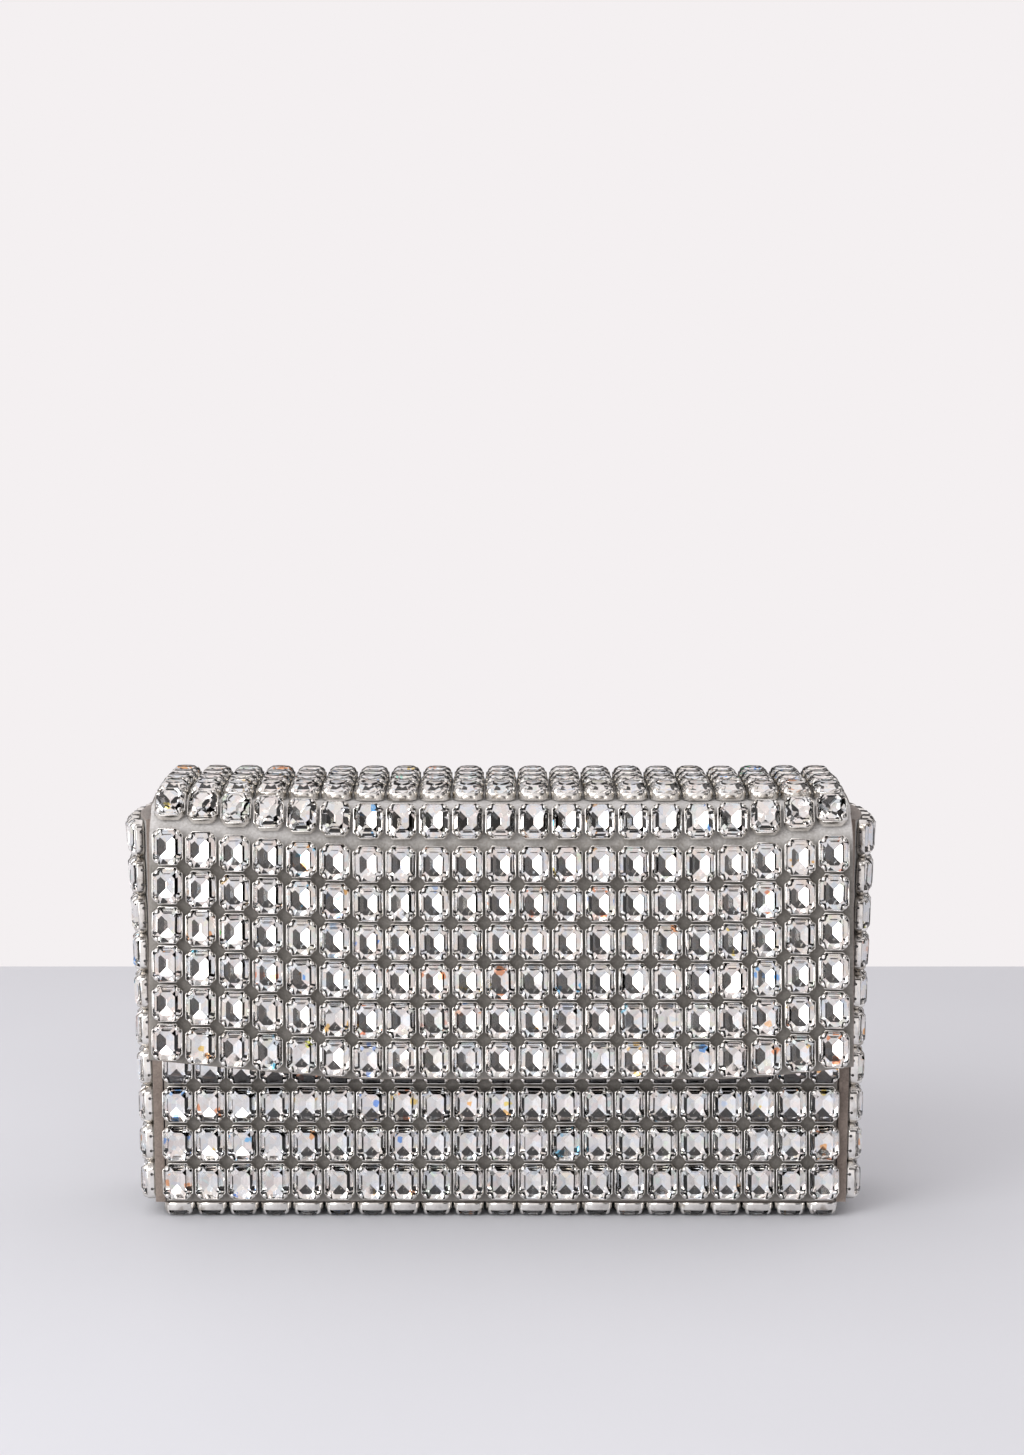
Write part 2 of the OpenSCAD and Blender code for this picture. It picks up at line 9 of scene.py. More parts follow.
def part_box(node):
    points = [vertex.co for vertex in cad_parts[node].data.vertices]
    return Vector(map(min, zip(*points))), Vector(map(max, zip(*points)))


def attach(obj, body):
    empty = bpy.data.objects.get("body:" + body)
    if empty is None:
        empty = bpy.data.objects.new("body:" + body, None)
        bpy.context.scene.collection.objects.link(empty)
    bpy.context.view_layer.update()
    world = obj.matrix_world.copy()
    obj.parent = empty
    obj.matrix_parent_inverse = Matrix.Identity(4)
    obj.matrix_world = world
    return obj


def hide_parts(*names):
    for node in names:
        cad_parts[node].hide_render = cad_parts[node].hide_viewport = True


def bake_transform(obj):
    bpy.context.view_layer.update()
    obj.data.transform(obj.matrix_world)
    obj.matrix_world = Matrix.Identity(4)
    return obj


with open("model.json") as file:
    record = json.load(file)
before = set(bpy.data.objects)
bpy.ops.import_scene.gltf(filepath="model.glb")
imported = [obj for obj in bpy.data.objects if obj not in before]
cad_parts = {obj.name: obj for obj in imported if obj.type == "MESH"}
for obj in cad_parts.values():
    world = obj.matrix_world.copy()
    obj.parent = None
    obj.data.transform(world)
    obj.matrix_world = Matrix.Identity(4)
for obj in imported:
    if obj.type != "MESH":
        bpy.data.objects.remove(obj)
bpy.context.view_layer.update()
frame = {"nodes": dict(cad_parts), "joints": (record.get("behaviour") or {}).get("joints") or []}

NODES = frame["nodes"]
MM = 0.001
scene = bpy.context.scene

# Sizes are in millimetres, up to the stage, which is in metres

# Stone and setting: x is the width, y the length, and z stands off the suede
STONE_W, STONE_L, STONE_CUT = 8.0, 9.8, 2.1
STONE_FOOT, GIRDLE_LO, GIRDLE_HI, TABLE_Z = 0.45, 2.10, 2.45, 4.25
WALL, PLAY, CUP_FLOOR = 0.25, 0.05, 0.4
CUP_W, CUP_L = STONE_W + 2 * (WALL + PLAY), STONE_L + 2 * (WALL + PLAY)
CUP_CUT = STONE_CUT - WALL
HOLE_Y, HOLE_Z, HOLE_R = 2.1, 0.95, 0.42

# Layers
SUEDE_T, BOARD_T, LINING_T, SIDE_BOARD_T, LAYER_GAP = 1.0, 1.6, 0.6, 1.0, 0.1
PANEL_T = SUEDE_T + BOARD_T + LINING_T
SIDE_T = SUEDE_T + SIDE_BOARD_T + LINING_T + 2 * LAYER_GAP
TURN_IN, TURN_IN_LAP = 12.0, 0.6

# Flap, in the same terms as the CAD, its slopes in degrees
FLAP_HALF, FLAP_T = 98.5, 3.2
FOLD_R = FLAP_T / 2
TOP_SLOPE, SLOPE_L = 12.0, 19.0
HANG, FOLD_SLACK, END_SLACK, SLACK_L = 87.5, 20.0, 31.0, 14.0
LEFT_LIFT, RIGHT_LIFT, LEFT_START, RIGHT_START = 3.8, 1.4, 38.0, 62.0
LIFT_POWER, SLACK_POWER = 1.1, 5.0
FRONT_RUN, FOLD_CLEAR, FOLD_LAP, FOLD_ROUND = 75.6, 1.9, 0.1, 0.2
WASHER_ROOM = 0.7

# Side panels
SIDE_LEAN, SIDE_SWELL, SWELL_POWER, SIDE_GAP = 2.3, 3.8, 1.5, 0.3


# Places that come from the frame
def box_mm(node):
    low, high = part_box(node)
    return np.array(low) / MM, np.array(high) / MM


def joint_mm(name):
    return next(np.array(j["pos_m"]) / MM for j in frame["joints"] if j["name"] == name)


BACK_AXIS, FRONT_AXIS = joint_mm("flap_hinge"), joint_mm("flap_fold")
FRONT_Y, MOUTH_Z = box_mm("front_cover")[0][1], box_mm("front_cover")[1][2]
BACK_Y, BACK_TOP_Z = box_mm("back_cover")[1][1], box_mm("back_cover")[1][2]
FOOT_Z = box_mm("bottom_cover")[0][2]
SIDE_TOP_Z = box_mm("gusset_right_cover")[1][2]
BODY_H = SIDE_TOP_Z - FOOT_Z
MID_Y, HALF_D = (FRONT_Y + BACK_Y) / 2, (BACK_Y - FRONT_Y) / 2
FLOOR_HALF = box_mm("bottom_cover")[1][0]
BASE_HALF = FLOOR_HALF + SIDE_T + SIDE_GAP
TOP_RISE = math.radians(TOP_SLOPE)
TOP_RUN = BACK_AXIS[1] - FRONT_AXIS[1] + SLOPE_L * (1 - math.sin(TOP_RISE) / TOP_RISE)

# Factors of the sine that hash01 takes its digits from
HASH_WAVES, HASH_SCALE = (12.9898, 78.233, 37.719), 43758.5453


def hash01(*key):
    """A number from 0 to 1 that looks random and is the same each time for the same three numbers."""
    v = math.sin(sum(k * m for k, m in zip(key, HASH_WAVES))) * HASH_SCALE
    return v - math.floor(v)


# Materials: scales are per metre, bump heights in metres, and colours linear
def material(name, **sockets):
    """(material, its node tree, its shader), with the shader's sockets set by name."""
    mat = bpy.data.materials.new(name)
    mat.use_nodes = True
    shader = mat.node_tree.nodes["Principled BSDF"]
    for key, value in sockets.items():
        shader.inputs[key.replace("_", " ")].default_value = value
    return mat, mat.node_tree, shader


def placed_by(tree, node, stretch=None):
    """Fixes a texture to the object's own metres, stretched along its axes."""
    source = tree.nodes.new("ShaderNodeTexCoord").outputs["Object"]
    if stretch:
        mapping = tree.nodes.new("ShaderNodeMapping")
        mapping.inputs["Scale"].default_value = stretch
        tree.links.new(source, mapping.inputs["Vector"])
        source = mapping.outputs["Vector"]
    tree.links.new(source, node.inputs["Vector"])
    return node


def noise(tree, scale, detail=3.0, rough=0.5, stretch=None):
    node = tree.nodes.new("ShaderNodeTexNoise")
    node.inputs["Scale"].default_value = scale
    node.inputs["Detail"].default_value = detail
    node.inputs["Roughness"].default_value = rough
    return placed_by(tree, node, stretch)


def ramp(tree, source, stops):
    node = tree.nodes.new("ShaderNodeValToRGB")
    while len(node.color_ramp.elements) < len(stops):
        node.color_ramp.elements.new(0.5)
    for element, (place, colour) in zip(node.color_ramp.elements, stops):
        element.position = place
        element.color = (*colour, 1.0)
    tree.links.new(source, node.inputs["Fac"])
    return node.outputs["Color"]


def bump(tree, shader, height, strength, distance):
    node = tree.nodes.new("ShaderNodeBump")
    node.inputs["Strength"].default_value = strength
    node.inputs["Distance"].default_value = distance
    tree.links.new(height, node.inputs["Height"])
    tree.links.new(node.outputs["Normal"], shader.inputs["Normal"])


def spread(tree, source, low, high, low_in=0.0, high_in=1.0):
    """Maps a value from low_in..high_in to low..high."""
    node = tree.nodes.new("ShaderNodeMapRange")
    node.inputs["From Min"].default_value = low_in
    node.inputs["From Max"].default_value = high_in
    node.inputs["To Min"].default_value = low
    node.inputs["To Max"].default_value = high
    tree.links.new(source, node.inputs["Value"])
    return node.outputs["Result"]


def greys(*stops):
    """Stops of a ramp from (place, value) pairs."""
    return [(place, (value,) * 3) for place, value in stops]


def make_glass():
    mat, tree, s = material("crystal_glass", Transmission_Weight=1.0, IOR=1.55)
    tint = noise(tree, scale=60, detail=1)
    stops = [(0.3, (0.975, 0.968, 0.955)), (0.7, (0.99, 0.985, 0.975))]
    tree.links.new(ramp(tree, tint.outputs["Fac"], stops), s.inputs["Base Color"])
    haze = noise(tree, scale=900, detail=2)
    tree.links.new(spread(tree, haze.outputs["Fac"], low=0.0, high=0.012), s.inputs["Roughness"])
    return mat


def make_foil():
    """Silver backing of the stones, with a few spots of strong colour painted into it: painted glints that
    stand in for the coloured fire of cut glass.
    Each spot's random green gives its hue, red how strong it is, and blue how bright."""
    mat, tree, s = material("crystal_foil", Metallic=1.0)
    spots = tree.nodes.new("ShaderNodeTexVoronoi")
    spots.inputs["Scale"].default_value = 600
    placed_by(tree, spots)
    parts = tree.nodes.new("ShaderNodeSeparateColor")
    tree.links.new(spots.outputs["Color"], parts.inputs["Color"])
    foil_and_painted_glint = tree.nodes.new("ShaderNodeCombineColor")
    foil_and_painted_glint.mode = "HSV"
    hue = greys((0.0, 0.03), (0.45, 0.08), (0.64, 0.13), (0.70, 0.55), (1.0, 0.63))
    # Most spots stay grey; about one in a hundred is strongly coloured, a painted glint
    strength = greys((0.0, 0.01), (0.90, 0.10), (0.984, 0.12), (0.988, 0.75))
    tree.links.new(ramp(tree, parts.outputs["Green"], hue), foil_and_painted_glint.inputs["Red"])
    tree.links.new(ramp(tree, parts.outputs["Red"], strength), foil_and_painted_glint.inputs["Green"])
    tree.links.new(spread(tree, parts.outputs["Blue"], low=0.90, high=0.99), foil_and_painted_glint.inputs["Blue"])
    tree.links.new(foil_and_painted_glint.outputs["Color"], s.inputs["Base Color"])
    haze = noise(tree, scale=700, detail=2)
    tree.links.new(spread(tree, haze.outputs["Fac"], low=0.0, high=0.03), s.inputs["Roughness"])
    return mat


def make_metal(name, low, high, rough, dull=None):
    """Metal of two tones, with a few duller spots. rough: its least and greatest roughness."""
    mat, tree, s = material(name, Metallic=1.0)
    tone = noise(tree, scale=300, detail=4, rough=0.6)
    stops = [(0.42, low), (0.62, high)]
    if dull:
        stops.insert(0, (0.30, dull))
    tree.links.new(ramp(tree, tone.outputs["Fac"], stops), s.inputs["Base Color"])
    grain = noise(tree, scale=1500, detail=3)
    tree.links.new(spread(tree, grain.outputs["Fac"], *rough), s.inputs["Roughness"])
    bump(tree, s, grain.outputs["Fac"], strength=0.15, distance=0.0001)
    return mat


# Share of the soft patches in the suede's tone. Heights in metres between which the flap's suede
# is painted paler upward, a painted top light, and how far that moves it along its ramp of colours
PATCH_SHARE = 0.45
TOP_LIGHT_Z, TOP_LIGHT_SHARE = (0.100, 0.113), 0.4


def make_suede(name, low, high, scale=1400, height=0.0003, painted_top_colour=None):
    """Napped leather: fine fibres over soft patches where the nap lies the other way.
    Its last colour, if given, is painted over the highest part as a painted top light on the flap's folds."""
    mat, tree, s = material(name, Sheen_Weight=0.35, Sheen_Roughness=0.45)
    nap = noise(tree, scale, detail=5, rough=0.65)
    patches = noise(tree, scale=90, detail=3, rough=0.6)
    mix = tree.nodes.new("ShaderNodeMath")
    mix.operation = "MULTIPLY_ADD"
    mix.inputs[1].default_value = PATCH_SHARE
    tree.links.new(patches.outputs["Fac"], mix.inputs[0])
    tree.links.new(spread(tree, nap.outputs["Fac"], low=0.0, high=1 - PATCH_SHARE), mix.inputs[2])
    pile, stops = mix.outputs["Value"], [(0.35, low), (0.65, high)]
    if painted_top_colour:
        # Painted top light: paler towards the top, by height in metres
        place = placed_by(tree, tree.nodes.new("ShaderNodeSeparateXYZ"))
        top_light_mix = tree.nodes.new("ShaderNodeMath")
        tree.links.new(pile, top_light_mix.inputs[0])
        tree.links.new(spread(tree, place.outputs["Z"], 0.0, TOP_LIGHT_SHARE, *TOP_LIGHT_Z), top_light_mix.inputs[1])
        pile = top_light_mix.outputs["Value"]
        stops.append((1.0, painted_top_colour))
    tree.links.new(ramp(tree, pile, stops), s.inputs["Base Color"])
    tree.links.new(spread(tree, nap.outputs["Fac"], low=0.80, high=0.97), s.inputs["Roughness"])
    bump(tree, s, nap.outputs["Fac"], strength=0.6, distance=height)
    return mat


def make_ribbed(name, low, high, ribs_per_metre):
    """Lining with fine ribs along the bag's width."""
    mat, tree, s = material(name, Sheen_Weight=0.2, Sheen_Roughness=0.4)
    ribs = tree.nodes.new("ShaderNodeTexWave")
    ribs.bands_direction = "DIAGONAL"
    ribs.inputs["Scale"].default_value = ribs_per_metre / math.tau
    ribs.inputs["Distortion"].default_value = 0.3
    placed_by(tree, ribs, (0.0, 1.0, 1.0))
    thread = noise(tree, scale=2500, detail=2, stretch=(0.3, 1.0, 1.0))
    tree.links.new(ramp(tree, thread.outputs["Fac"], [(0.3, low), (0.7, high)]), s.inputs["Base Color"])
    tree.links.new(spread(tree, thread.outputs["Fac"], low=0.60, high=0.80), s.inputs["Roughness"])
    bump(tree, s, ribs.outputs["Fac"], strength=0.5, distance=0.0002)
    return mat


GLASS, FOIL = make_glass(), make_foil()
CUP_METAL = make_metal("setting_silver", (0.80, 0.775, 0.74), (0.94, 0.92, 0.885), rough=(0.09, 0.26),
                       dull=(0.46, 0.42, 0.37))
SNAP_METAL = make_metal("snap_nickel", (0.60, 0.60, 0.60), (0.74, 0.74, 0.73), rough=(0.18, 0.35))
NAP = ((0.155, 0.145, 0.13), (0.29, 0.275, 0.255))
SUEDE = make_suede("suede_grey", *NAP)
# Flap suede, painted paler high up: painted light from above
FLAP_SUEDE = make_suede("suede_flap", *NAP, painted_top_colour=(0.60, 0.59, 0.585))
RAW_EDGE = make_suede("raw_leather_edge", (0.13, 0.10, 0.083), (0.28, 0.23, 0.198), 2200, 0.0004)
FELT = make_suede("grey_felt", (0.16, 0.155, 0.15), (0.25, 0.245, 0.24), 900, 0.0005)
BOARD = make_suede("pulp_board", (0.30, 0.27, 0.23), (0.42, 0.385, 0.33), 500, 0.0002)
LINING = make_ribbed("ribbed_lining", (0.13, 0.125, 0.13), (0.20, 0.195, 0.20), 1400)
THREAD = make_suede("sewing_thread", (0.06, 0.055, 0.05), (0.15, 0.14, 0.13), 3000, 0.0001)


# Meshes
def mesh_object(name, points, faces, mats, tags=None, smooth=True):
    """An object from points in millimetres. tags: the number of each face's material."""
    mesh = bpy.data.meshes.new(name)
    mesh.from_pydata((np.asarray(points) * MM).tolist(), [], faces)
    for m in mats:
        mesh.materials.append(m)
    if tags is not None:
        mesh.polygons.foreach_set("material_index", tags)
    mesh.polygons.foreach_set("use_smooth", [smooth] * len(faces))
    mesh.update()
    obj = bpy.data.objects.new(name, mesh)
    scene.collection.objects.link(obj)
    return obj


def from_bmesh(bm):
    """(points, faces, number of each face's material), the faces turned outward."""
    bm.normal_update()
    bmesh.ops.recalc_face_normals(bm, faces=bm.faces)
    points = np.array([v.co for v in bm.verts])
    faces = [[v.index for v in f.verts] for f in bm.faces]
    tags = [f.material_index for f in bm.faces]
    bm.free()
    return points, faces, tags


def plane_cut(bm, point, normal, tag):
    """Cuts away what lies outside the plane and closes the cut with a face of that material."""
    geom = bm.verts[:] + bm.edges[:] + bm.faces[:]
    cut = bmesh.ops.bisect_plane(
        bm, geom=geom, dist=1e-6, plane_co=Vector(point), plane_no=Vector(normal), clear_outer=True
    )
    edges = [g for g in cut["geom_cut"] if isinstance(g, bmesh.types.BMEdge)]
    for face in bmesh.ops.edgenet_fill(bm, edges=edges)["faces"]:
        face.material_index = tag


def tube_faces(first, around, rings):
    """Closed tube of rings of points, the first ring's first point being number first."""
    last = first + around * (rings - 1)
    sides = [
        [a + j, a + (j + 1) % around, a + around + (j + 1) % around, a + around + j]
        for a in range(first, last, around) for j in range(around)
    ]
    return sides + [list(range(first, first + around))[::-1], list(range(last, last + around))]


# Crown: width of its outer step, then that step's angle and the inner step's
BRIGHT_CROWN, DEEP_CROWN = (0.2, 75, 34), (0.55, 55, 46)
RIM_W, RIM_ANGLE = 0.5, math.radians(25)
CLEAR_FACE, BACKED_FACE = 0, 1


def stone_template(slope, shift_x, shift_y, deep):
    """Step-cut stone: flat table, two-step crown, girdle, narrow rim below it and a shallow hipped
    underside. slope: of the underside. shift: how far its ridge lies off the middle.
    deep: its darker sides, counted in eighths of a turn from the right."""
    tilt = math.radians(slope)
    bm = bmesh.new()
    bmesh.ops.create_cube(bm, size=1.0)
    bmesh.ops.scale(bm, vec=(STONE_W, STONE_L, TABLE_Z - STONE_FOOT), verts=bm.verts)
    bmesh.ops.translate(bm, vec=(0, 0, (TABLE_Z + STONE_FOOT) / 2), verts=bm.verts)
    up = Vector((0, 0, 1))
    for q in range(8):
        a = math.radians(45 * q)
        n = Vector((math.cos(a), math.sin(a), 0))
        step, steep, flat = DEEP_CROWN if q in deep else BRIGHT_CROWN
        steep, flat = math.radians(steep), math.radians(flat)
        if q % 2:
            reach = (STONE_W / 2 + STONE_L / 2 - STONE_CUT) / math.sqrt(2)
            plane_cut(bm, n * reach, n, CLEAR_FACE)
        else:
            reach = abs(n.x) * STONE_W / 2 + abs(n.y) * STONE_L / 2
        plane_cut(bm, n * reach + up * GIRDLE_HI, n * math.sin(steep) + up * math.cos(steep), CLEAR_FACE)
        inner = n * (reach - step) + up * (GIRDLE_HI + step * math.tan(steep))
        plane_cut(bm, inner, n * math.sin(flat) + up * math.cos(flat), CLEAR_FACE)
        rim_normal = n * math.sin(RIM_ANGLE) - up * math.cos(RIM_ANGLE)
        plane_cut(bm, n * reach + up * GIRDLE_LO, rim_normal, BACKED_FACE)
        if q % 2 == 0:
            seat = GIRDLE_LO - RIM_W * math.tan(RIM_ANGLE)
            at = n * (reach - RIM_W) + up * seat + Vector((shift_x, shift_y, 0))
            plane_cut(bm, at, n * math.sin(tilt) - up * math.cos(tilt), BACKED_FACE)
    return from_bmesh(bm)


# Inset and height of the cup's section, from its foot over the rolled rim to its floor
CUP_SECTION = [
    (0.50, 0.0), (0.18, 0.10), (0.04, 0.32), (0.0, 0.70), (0.0, 2.24), (0.02, 2.34), (0.07, 2.38),
    (0.19, 2.38), (0.25, 2.30), (0.25, 0.55), (0.55, CUP_FLOOR),
]
# How much an octagon's corner cut shrinks when all its sides are inset by 1
CUT_SHRINK = 0.59
HOLE_SIDES = 8


def octagon(w, l, cut):
    """Corners of an octagon, anticlockwise from the right side's lower end."""
    x, y = w / 2, l / 2
    return [
        (x, -y + cut), (x, y - cut), (x - cut, y), (-x + cut, y),
        (-x, y - cut), (-x, -y + cut), (-x + cut, -y), (x - cut, -y),
    ]


def cup_template():
    """Metal cup whose long walls are drilled through for its threads: (points, faces)."""
    points = []
    for inset, z in CUP_SECTION:
        corners = octagon(CUP_W - 2 * inset, CUP_L - 2 * inset, CUP_CUT - CUT_SHRINK * inset)
        points += [(x, y, z) for x, y in corners]
    cup = mesh_object("cup_template", points, tube_faces(0, 8, len(CUP_SECTION)), [])
    drills = []
    for side in (-1, 1):
        bm = bmesh.new()
        bmesh.ops.create_cone(
            bm, segments=HOLE_SIDES, radius1=HOLE_R * MM, radius2=HOLE_R * MM,
            depth=2 * CUP_W * MM, cap_ends=True,
        )
        bmesh.ops.rotate(bm, verts=bm.verts, matrix=Matrix.Rotation(math.radians(90), 3, "Y"))
        bmesh.ops.translate(bm, verts=bm.verts, vec=(0, side * HOLE_Y * MM, HOLE_Z * MM))
        mesh = bpy.data.meshes.new("hole")
        bm.to_mesh(mesh)
        bm.free()
        drill = bpy.data.objects.new("hole", mesh)
        scene.collection.objects.link(drill)
        drills.append(drill)
        cutter = cup.modifiers.new("hole", "BOOLEAN")
        cutter.operation = "DIFFERENCE"
        cutter.solver = "EXACT"
        cutter.object = drill
    bpy.context.view_layer.update()
    cut = cup.evaluated_get(bpy.context.evaluated_depsgraph_get()).data
    points = np.array([v.co for v in cut.vertices]) / MM
    faces = [list(f.vertices) for f in cut.polygons]
    for helper in (cup, *drills):
        bpy.data.objects.remove(helper)
    return points, faces


# Claw: how far out of the cup's corner, height, half width and thickness at each station. Its
# section is in shares of the half width and the thickness, and CLAW_SUNK of it is in the corner
CLAW = [
    (0.02, 0.95, 0.60, 0.26), (0.10, 2.05, 0.66, 0.34), (0.10, 2.55, 0.70, 0.44), (-0.14, 3.10, 0.70, 0.48),
    (-0.52, 3.52, 0.62, 0.46), (-0.84, 3.72, 0.44, 0.36), (-1.02, 3.70, 0.20, 0.20),
]
CLAW_SECTION = ((-1, 0.45), (-0.55, 0.95), (0.55, 0.95), (1, 0.45), (0.7, 0.0), (-0.7, 0.0))
CLAW_SUNK = 0.7


def claws():
    """Four claws that rise at the corners and bend over the stone, ending in rounded tips."""
    points, faces = [], []
    reach = (CUP_W / 2 + CUP_L / 2 - CUP_CUT) / math.sqrt(2)
    for sx, sy in ((1, 1), (-1, 1), (-1, -1), (1, -1)):
        n = np.array([sx, sy, 0]) / math.sqrt(2)
        t = np.array([-sy, sx, 0]) / math.sqrt(2)
        corner = np.array([sx * (CUP_W - CUP_CUT) / 2, sy * (CUP_L - CUP_CUT) / 2, 0])
        middle = n * reach + t * (corner @ t)
        first = len(points)
        for k, (out, z, half, thick) in enumerate(CLAW):
            ahead, behind = CLAW[min(k + 1, len(CLAW) - 1)], CLAW[max(k - 1, 0)]
            run = np.array([ahead[0] - behind[0], ahead[1] - behind[1]])
            run = run / np.linalg.norm(run)
            normal = n * run[1] - np.array([0, 0, run[0]])
            seat = middle + n * out + np.array([0, 0, z])
            for across, raised in CLAW_SECTION:
                points.append(seat + t * half * across + normal * thick * (raised - CLAW_SUNK))
        faces += tube_faces(first, len(CLAW_SECTION), len(CLAW))
    return points, faces


def turned_outward(points, faces):
    """The same mesh with its faces turned outward, and each face's material."""
    bm = bmesh.new()
    verts = [bm.verts.new(p) for p in points]
    for f in faces:
        bm.faces.new([verts[i] for i in f])
    bm.verts.index_update()
    return from_bmesh(bm)


def setting_template():
    """Cup and claws as one mesh."""
    points, faces = cup_template()
    more, claw_faces = claws()
    faces += [[i + len(points) for i in f] for f in claw_faces]
    return turned_outward(np.concatenate([points, more]), faces)


# Thread: distance from the stone's middle and height at each station. Its section is a triangle
THREAD_PATH = [(3.95, HOLE_Z + 0.1), (4.36, HOLE_Z - 0.25), (4.36, 0.2), (4.1, -0.25)]
THREAD_HALF, THREAD_ROOF = 0.14, 0.1


def stitch_template():
    """The four threads that hold a cup, each from its hole down into the suede."""
    points, faces = [], []
    for side in (-1, 1):
        for y in (-HOLE_Y, HOLE_Y):
            first = len(points)
            for x, z in THREAD_PATH:
                points.append((side * (x + THREAD_HALF), y, z + THREAD_ROOF))
                points += [(side * x, y - THREAD_HALF, z), (side * x, y + THREAD_HALF, z)]
            faces += tube_faces(first, 3, len(THREAD_PATH))
    return turned_outward(points, faces)


# Five cuts of the same stone, so that neighbours don't all flash alike
STONES = [
    stone_template(16.0, -0.25, 0.0, (2,)), stone_template(15.2, -0.40, 0.12, (2, 4)),
    stone_template(16.6, -0.05, -0.10, (2, 0)), stone_template(15.6, -0.30, 0.05, (2, 3, 4)),
    stone_template(16.3, 0.05, 0.0, (1, 2, 4)),
]
SETTING = setting_template()
STITCHES = stitch_template()


# Placing the stones
def islands(node):
    """Points of each connected part of a CAD node, in millimetres. Points that coincide count as
    one, and each then takes the lowest label among its neighbours until none changes."""
    mesh = NODES[node].data
    co = np.array([v.co for v in mesh.vertices]) / MM
    key = np.round(co, 3)
    _, first, same = np.unique(key, axis=0, return_index=True, return_inverse=True)
    same = same.ravel()
    edges = same[np.array([e.vertices for e in mesh.edges])]
    label = np.arange(len(first))
    while True:
        low = np.minimum(label[edges[:, 0]], label[edges[:, 1]])
        fresh = label.copy()
        np.minimum.at(fresh, edges[:, 0], low)
        np.minimum.at(fresh, edges[:, 1], low)
        fresh = fresh[fresh]
        if (fresh == label).all():
            break
        label = fresh
    return [co[first][label == k] for k in np.unique(label)]


def stone_frames(node, out, up):
    """Origin and axes of each stone in a node: on its foot, x across, y along, z outward. Its
    least, middle and greatest spread are its height, width and length."""
    frames = []
    out, up = np.array(out, float), np.array(up, float)
    for pts in islands(node):
        c = pts.mean(0)
        _, axes = np.linalg.eigh(np.cov((pts - c).T))
        n, w, l = axes.T
        n = n * np.sign(n @ out)
        l = l * np.sign(l @ up)
        w = np.cross(l, n)
        local = (pts - c) @ np.array([w, l, n]).T
        mid = (local.min(0) + local.max(0)) / 2
        origin = c + w * mid[0] + l * mid[1] + n * local[:, 2].min()
        frames.append((origin, np.array([w, l, n])))
    return frames


# Greatest tilt and turn between one stone and another, in degrees
TILT_RANGE, TURN_RANGE = 2.4, 2.0


def stamped(name, frames, template_of, mats, smooth=False):
    """One object made of a template at every frame, each sitting very slightly differently."""
    points, faces, tags = [], [], []
    base = 0
    for origin, axes in frames:
        p, f, t = template_of(origin)
        a = math.radians(TILT_RANGE * (hash01(*origin) - 0.5))
        b = math.radians(TILT_RANGE * (hash01(*origin[::-1]) - 0.5))
        c = math.radians(TURN_RANGE * (hash01(origin[1], origin[0], origin[2]) - 0.5))
        turn = Matrix.Rotation(a, 3, "X") @ Matrix.Rotation(b, 3, "Y") @ Matrix.Rotation(c, 3, "Z")
        points.append(origin + (p @ np.array(turn).T) @ axes)
        faces += [[i + base for i in face] for face in f]
        tags += t
        base += len(p)
    return mesh_object(name, np.concatenate(points), faces, mats, tags, smooth)


def ride(piece, body, slot, *nodes):
    """Fixes a piece to a body, in place of those nodes."""
    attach(piece, body)
    if nodes:
        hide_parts(*nodes)


CUP_SHARP = math.radians(48)


def pick_stone(origin):
    """One of the stones' cuts, chosen by where the stone is."""
    return STONES[int(hash01(*origin) * (len(STONES) - 0.001))]


def set_stones(node, body, out, up, also=()):
    """Stones, settings and threads in place of a node's, which face out and run along up.
    also: a further node whose stones they are."""
    frames = stone_frames(node, out, up)
    stem = node.replace("_settings", "").replace("_crystals", "")
    stones = stamped(stem + "_cut_stones", frames, pick_stone, [GLASS, FOIL])
    cups = stamped(stem + "_claw_settings", frames, lambda o: SETTING, [CUP_METAL], smooth=True)
    cups.data.set_sharp_from_angle(angle=CUP_SHARP)
    threads = stamped(stem + "_stitches", frames, lambda o: STITCHES, [THREAD], smooth=True)
    ride(stones, body, "crystal", *also)
    ride(cups, body, "setting_metal", node)
    ride(threads, body, "suede")


set_stones("flap_front_settings", "flap_front", (0, -1, 0.3), (0, -0.1, 1), also=("flap_front_stones",))
set_stones("flap_top_crystals", "flap_top", (0, -0.2, 1), (0, 1, 0))
set_stones("front_crystals", "body", (0, -1, 0), (0, 0, 1))
set_stones("back_crystals", "body", (0, 1, 0), (0, 0, 1))
set_stones("gusset_left_crystals", "body", (-1, 0, 0), (0, 0, 1))
set_stones("gusset_right_crystals", "body", (1, 0, 0), (0, 0, 1))
set_stones("bottom_crystals", "body", (0, 0, -1), (0, -1, 0))
set_stones("bottom_end_crystals", "body", (0, 0, -1), (0, -1, 0))


# Flap surface, as the CAD has it: x across, s the run from a fold's axis, d off the mid surface
PATH_STEPS = 24


def end_share(x):
    """How far the flap's ends are pulled up: 0 over its middle, 1 at both ends."""
    start = np.where(x < 0, LEFT_START, RIGHT_START)
    return np.maximum(0, (np.abs(x) - start) / (FLAP_HALF - start)) ** LIFT_POWER


def end_lift(x):
    """Millimetres by which the flap is pulled up there."""
    return np.where(x < 0, LEFT_LIFT, RIGHT_LIFT) * end_share(x)


def top_angle(s):
    """Slope of the flap's top below level."""
    return TOP_RISE * np.maximum(0, s - TOP_RUN + SLOPE_L) / SLOPE_L


def front_angle(x, s):
    """Slope of the hanging front below level, flatter near the fold and most of all at the ends."""
    share = np.clip((s + end_lift(x)) / SLACK_L, 0, 1)
    return np.radians(HANG - (FOLD_SLACK + END_SLACK * end_share(x)) * (1 - share ** SLACK_POWER))


